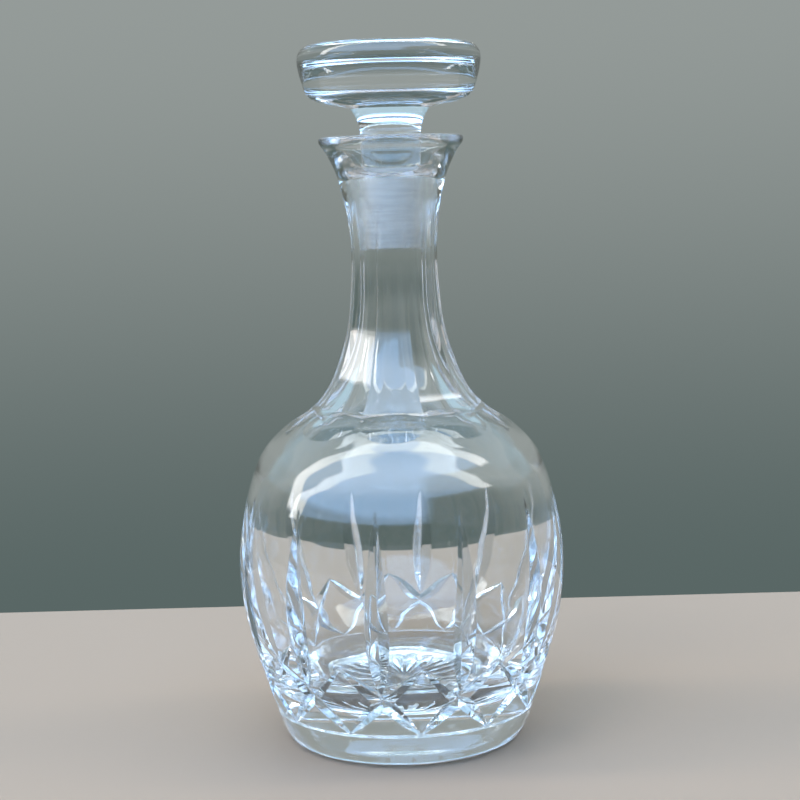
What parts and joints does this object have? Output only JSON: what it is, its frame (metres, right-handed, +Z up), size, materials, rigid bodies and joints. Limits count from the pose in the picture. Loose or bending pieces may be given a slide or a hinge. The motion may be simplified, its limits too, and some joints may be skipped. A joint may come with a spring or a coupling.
{
  "type": "cut crystal decanter",
  "caption": "Hollow cut-glass decanter with a flat-fluted neck, upright mitre cuts, a crossed-mitre band and a star-cut foot, closed by a disc-headed ground glass stopper.",
  "frame": {"origin": "centre of the foot on the table, under the lowest point of the box", "axes": "+Z up the axis of bottle and stopper, -Y towards the front that the pictures show, +X to its right"},
  "size_m": [0.12, 0.12, 0.2548],
  "materials": {
    "bottle_crystal": "polished, cut",
    "stopper_crystal": "polished head, ground peg"
  },
  "bodies": {
    "bottle": {"decanter_bottle": "bottle_crystal"},
    "stopper": {"stopper": "stopper_crystal"}
  },
  "joints": [
    {"name": "stopper_lift", "type": "slide", "parent": "bottle", "child": "stopper", "axis": [0, 0, 1], "range_m": [0, 0.06]}
  ]
}
